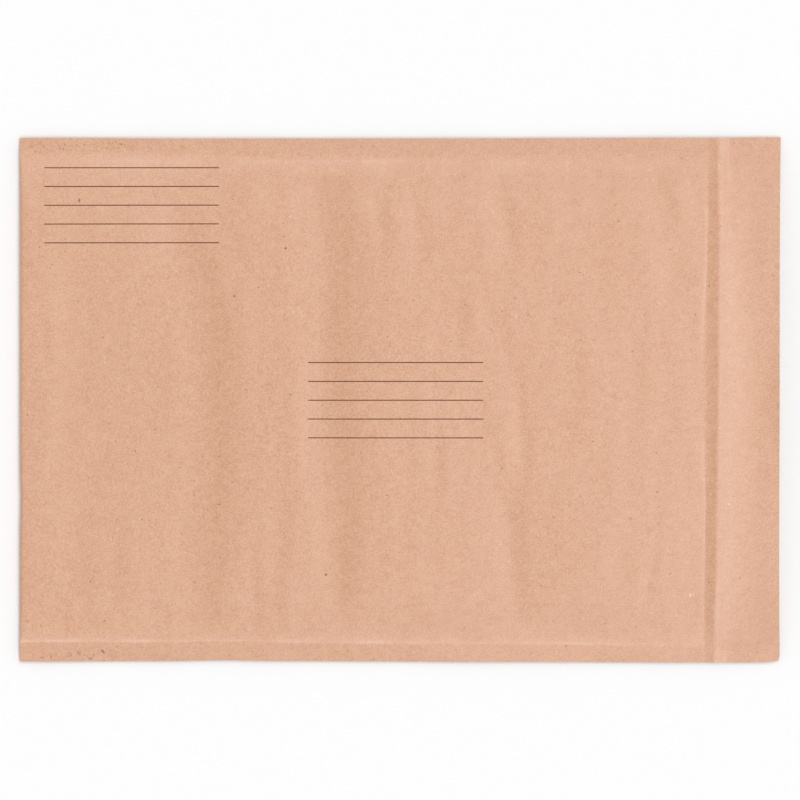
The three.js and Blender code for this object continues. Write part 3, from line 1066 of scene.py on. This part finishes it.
# The folded sheet
BACK_LAYER = 0
POCKET_LAYER = 1


def everywhere(layer, x, y):
    return np.ones_like(x, dtype=bool)


def cover_holds(layer, x, y):
    in_pocket = (x > FOLD_X + PAPER) & (np.abs(y) < PANEL_HALF)
    if layer == BACK_LAYER:
        return x < BACK_END_X
    if layer == POCKET_LAYER:
        return (x < BACK_END_X) & ~in_pocket
    return everywhere(layer, x, y)


def make_cover():
    surfaces = [back_outside, back_inside, front_inside, front_outside]
    cover = stacked_sheets("envelope_cover", XS, YS, surfaces, cover_holds)
    settle(cover, kraft_material(), "kraft_cover")


# The printed address rules: thin films of ink on the front panel
INK_LOW = 0.01
INK_HIGH = 0.03


def joined(name, pieces):
    with bpy.context.temp_override(active_object=pieces[0], selected_editable_objects=pieces):
        bpy.ops.object.join()
    pieces[0].name = name
    return pieces[0]


def ink_under(x, y):
    return front_outside(x, y) + INK_LOW


def ink_over(x, y):
    return front_outside(x, y) + INK_HIGH


def make_rules():
    rules = []
    for start_x, low_y, high_y in rule_edges():
        xs = between(XS, start_x, start_x + RULE_LENGTH)
        ys = between(YS, low_y, high_y)
        rules.append(stacked_sheets("rule", xs, ys, [ink_under, ink_over], everywhere))
    settle(joined("address_rules", rules), ink_material())


# The bubble film: two thin walls sealed at the fold and the sides, and rows of bubbles facing the pocket
FILM = 0.35
FILM_GRID = 6.0
FILM_FOLD_GRID = 0.6
SIDE_SEAL = 2.0
FILM_EDGE_Y = LINER_HIGH[1]
SEAL_Y = FILM_EDGE_Y - SIDE_SEAL
BUBBLE_PITCH = 11.5
BUBBLE_ROW_PITCH = BUBBLE_PITCH * math.sqrt(3) / 2
BUBBLE_STAGGER = 0.5
BUBBLE_OFFSET = 0.25
BUBBLE_RADIUS = 4.9
BUBBLE_SIDES = 14
BUBBLE_RINGS = 4
DOME_POWER = 4
# Margins of the bubbles at the fold, the mouth and the sides
FOLD_MARGIN = 8.0
MOUTH_MARGIN = 0.5
SIDE_MARGIN = 6.0
LEAST_FULLNESS = 0.45
BUBBLE_SUNK = 0.05


def film_thickness(x, y):
    return np.minimum(FILM, (PAD / 2) * fullness(x, y, PAPER) - GLUE)


def film_holds(layer, x, y):
    in_pocket = (x > FOLD_X + FOLD_RADIUS) & (np.abs(y) < SEAL_Y)
    if layer == POCKET_LAYER:
        return ~in_pocket
    return everywhere(layer, x, y)


def bubble_places():
    """Middles of the bubbles, in staggered rows, and how far the film is let out there."""
    last = LINER_HIGH[0] - BUBBLE_RADIUS - MOUTH_MARGIN
    rows = even_steps(LINER_LOW[0] + FOLD_MARGIN, last, BUBBLE_ROW_PITCH)
    half = int((FILM_EDGE_Y - SIDE_MARGIN) / BUBBLE_PITCH)
    row, column = np.meshgrid(np.arange(len(rows)), np.arange(-half, half), indexing="ij")
    x = rows[row].ravel()
    y = (BUBBLE_PITCH * (column + BUBBLE_STAGGER * (row % 2) + BUBBLE_OFFSET)).ravel()
    full = fullness(x, y, PAPER)
    kept = full > LEAST_FULLNESS
    return x[kept], y[kept], full[kept]


def bubble_faces(count, up):
    """Faces of that many closed domes, each with its rings' corners first and its top last."""
    rings = np.arange(BUBBLE_RINGS * BUBBLE_SIDES).reshape(BUBBLE_RINGS, BUBBLE_SIDES)
    beside = np.roll(rings, -1, axis=1)
    walls = np.stack([rings[:-1], beside[:-1], beside[1:], rings[1:]], -1).reshape(-1, 4).tolist()
    top = [[a, b, rings.size] for a, b in zip(rings[-1].tolist(), beside[-1].tolist())]
    foot = [rings[0][::-1].tolist()]
    dome = [face[::up] for face in walls + top + foot]
    starts = [number * (rings.size + 1) for number in range(count)]
    return [[start + corner for corner in face] for start in starts for face in dome]


def bubbles(base, up):
    """Closed domes on a film whose inner face is base(x, y), rising along up."""
    x, y, full = bubble_places()
    height = (WALL - FILM) * full
    lean = np.arange(BUBBLE_RINGS) / BUBBLE_RINGS
    radius = (BUBBLE_RADIUS * np.sqrt(1 - lean ** DOME_POWER))[:, None]
    angle = np.linspace(0, 2 * math.pi, BUBBLE_SIDES, endpoint=False)
    ring_x = x[:, None, None] + radius * np.cos(angle)
    ring_y = y[:, None, None] + radius * np.sin(angle)
    climb = height[:, None, None] * np.sin(lean * math.pi / 2)[:, None] - BUBBLE_SUNK
    rings = np.stack([*drawn_plan(ring_x, ring_y), base(ring_x, ring_y) + up * climb], -1)
    tops = np.stack([*drawn_plan(x, y), base(x, y) + up * height], -1)
    points = np.concatenate([rings.reshape(len(x), -1, 3), tops[:, None]], axis=1)
    mesh = bpy.data.meshes.new("bubbles")
    mesh.from_pydata((points.reshape(-1, 3) * MM).tolist(), [], bubble_faces(len(x), up))
    return smooth_object("bubbles", mesh)


def make_liner():
    folded = even_steps(LINER_LOW[0], FOLD_X + FOLD_RADIUS, FILM_FOLD_GRID)
    xs = merged(folded, even_steps(FOLD_X + FOLD_RADIUS, LINER_END_X, FILM_GRID))
    ys = merged(even_steps(-FILM_EDGE_Y, FILM_EDGE_Y, FILM_GRID), [-SEAL_Y, SEAL_Y])

    def back_low(x, y):
        return back_inside(x, y) + GLUE

    def back_high(x, y):
        return back_low(x, y) + film_thickness(x, y)

    def front_high(x, y):
        return front_inside(x, y) - GLUE

    def front_low(x, y):
        return front_high(x, y) - film_thickness(x, y)

    walls = stacked_sheets("film_walls", xs, ys, [back_low, back_high, front_low, front_high], film_holds)
    liner = joined("bubble_lining", [bubbles(back_high, 1), bubbles(front_low, -1), walls])
    settle(liner, film_material(), "bubble_liner")


# The gum and its cover under the flap
STRIP_THICKNESS = 0.15
STRIP_GAP = 0.05


def make_strip(name, low, high, below, material, node):
    def strip_under(x, y):
        return front_inside(x, y) - below - STRIP_THICKNESS

    def strip_over(x, y):
        return front_inside(x, y) - below

    xs = between(XS, low[0], high[0])
    ys = between(YS, low[1], high[1])
    strip = stacked_sheets(name, xs, ys, [strip_under, strip_over], everywhere)
    settle(strip, material, node)


def make_strips():
    gum = adhesive_material()
    make_strip("gum_strip", ADHESIVE_LOW, ADHESIVE_HIGH, STRIP_GAP, gum, "adhesive_strip")
    paper = release_material()
    below = 2 * STRIP_GAP + STRIP_THICKNESS
    make_strip("gum_cover", RELEASE_LOW, RELEASE_HIGH, below, paper, "release_strip")


# Floor, light and camera
FLOOR_HALF = 60.0
FLOOR_Z = -0.0002
FLOOR_COLOUR = (0.95, 0.95, 0.95, 1.0)
FLOOR_ROUGHNESS = 0.9


def make_floor():
    mesh = bpy.data.meshes.new("floor")
    corners = [(-1, -1), (1, -1), (1, 1), (-1, 1)]
    points = [(x * FLOOR_HALF, y * FLOOR_HALF, FLOOR_Z) for x, y in corners]
    mesh.from_pydata(points, [], [(0, 1, 2, 3)])
    floor = bpy.data.objects.new("floor", mesh)
    bpy.context.scene.collection.objects.link(floor)
    material, _, shader = new_material("floor")
    shader.inputs["Base Color"].default_value = FLOOR_COLOUR
    shader.inputs["Roughness"].default_value = FLOOR_ROUGHNESS
    mesh.materials.append(material)


WORLD_LEVEL = 0.54
# Each key's turn from the envelope's length, height and level
KEYS = [(0, 71, 0.22), (65, 65, 0.14), (-65, 65, 0.14)]
KEY_SPREAD = math.radians(22)


def make_light():
    """An even surround and soft keys from the flap's end. Levels are shares of white on a level sheet."""
    world = bpy.data.worlds.new("studio")
    world.use_nodes = True
    world.node_tree.nodes["Background"].inputs["Color"].default_value = (1.0, 1.0, 1.0, 1.0)
    world.node_tree.nodes["Background"].inputs["Strength"].default_value = WORLD_LEVEL
    bpy.context.scene.world = world
    for turn, height, level in KEYS:
        data = bpy.data.lights.new("key", "SUN")
        data.angle = KEY_SPREAD
        data.energy = level * math.pi / math.sin(math.radians(height))
        key = bpy.data.objects.new("key", data)
        key.rotation_euler = (0.0, math.radians(90 - height), math.radians(turn))
        bpy.context.scene.collection.objects.link(key)


VIEW_WIDTH = 366.1
CAMERA_HEIGHT = 3.0
SENSOR = 36.0
VIEW_LEVEL = 0.005


def make_camera():
    data = bpy.data.cameras.new("camera")
    data.sensor_width = SENSOR
    data.lens = SENSOR * (CAMERA_HEIGHT - VIEW_LEVEL) / (VIEW_WIDTH * MM)
    camera = bpy.data.objects.new("camera", data)
    camera.location = (0.0, 0.0, CAMERA_HEIGHT)
    bpy.context.scene.collection.objects.link(camera)
    bpy.context.scene.camera = camera


make_camera()
make_light()
make_floor()
make_cover()
make_rules()
make_liner()
make_strips()
bpy.context.scene.view_settings.view_transform = "Standard"
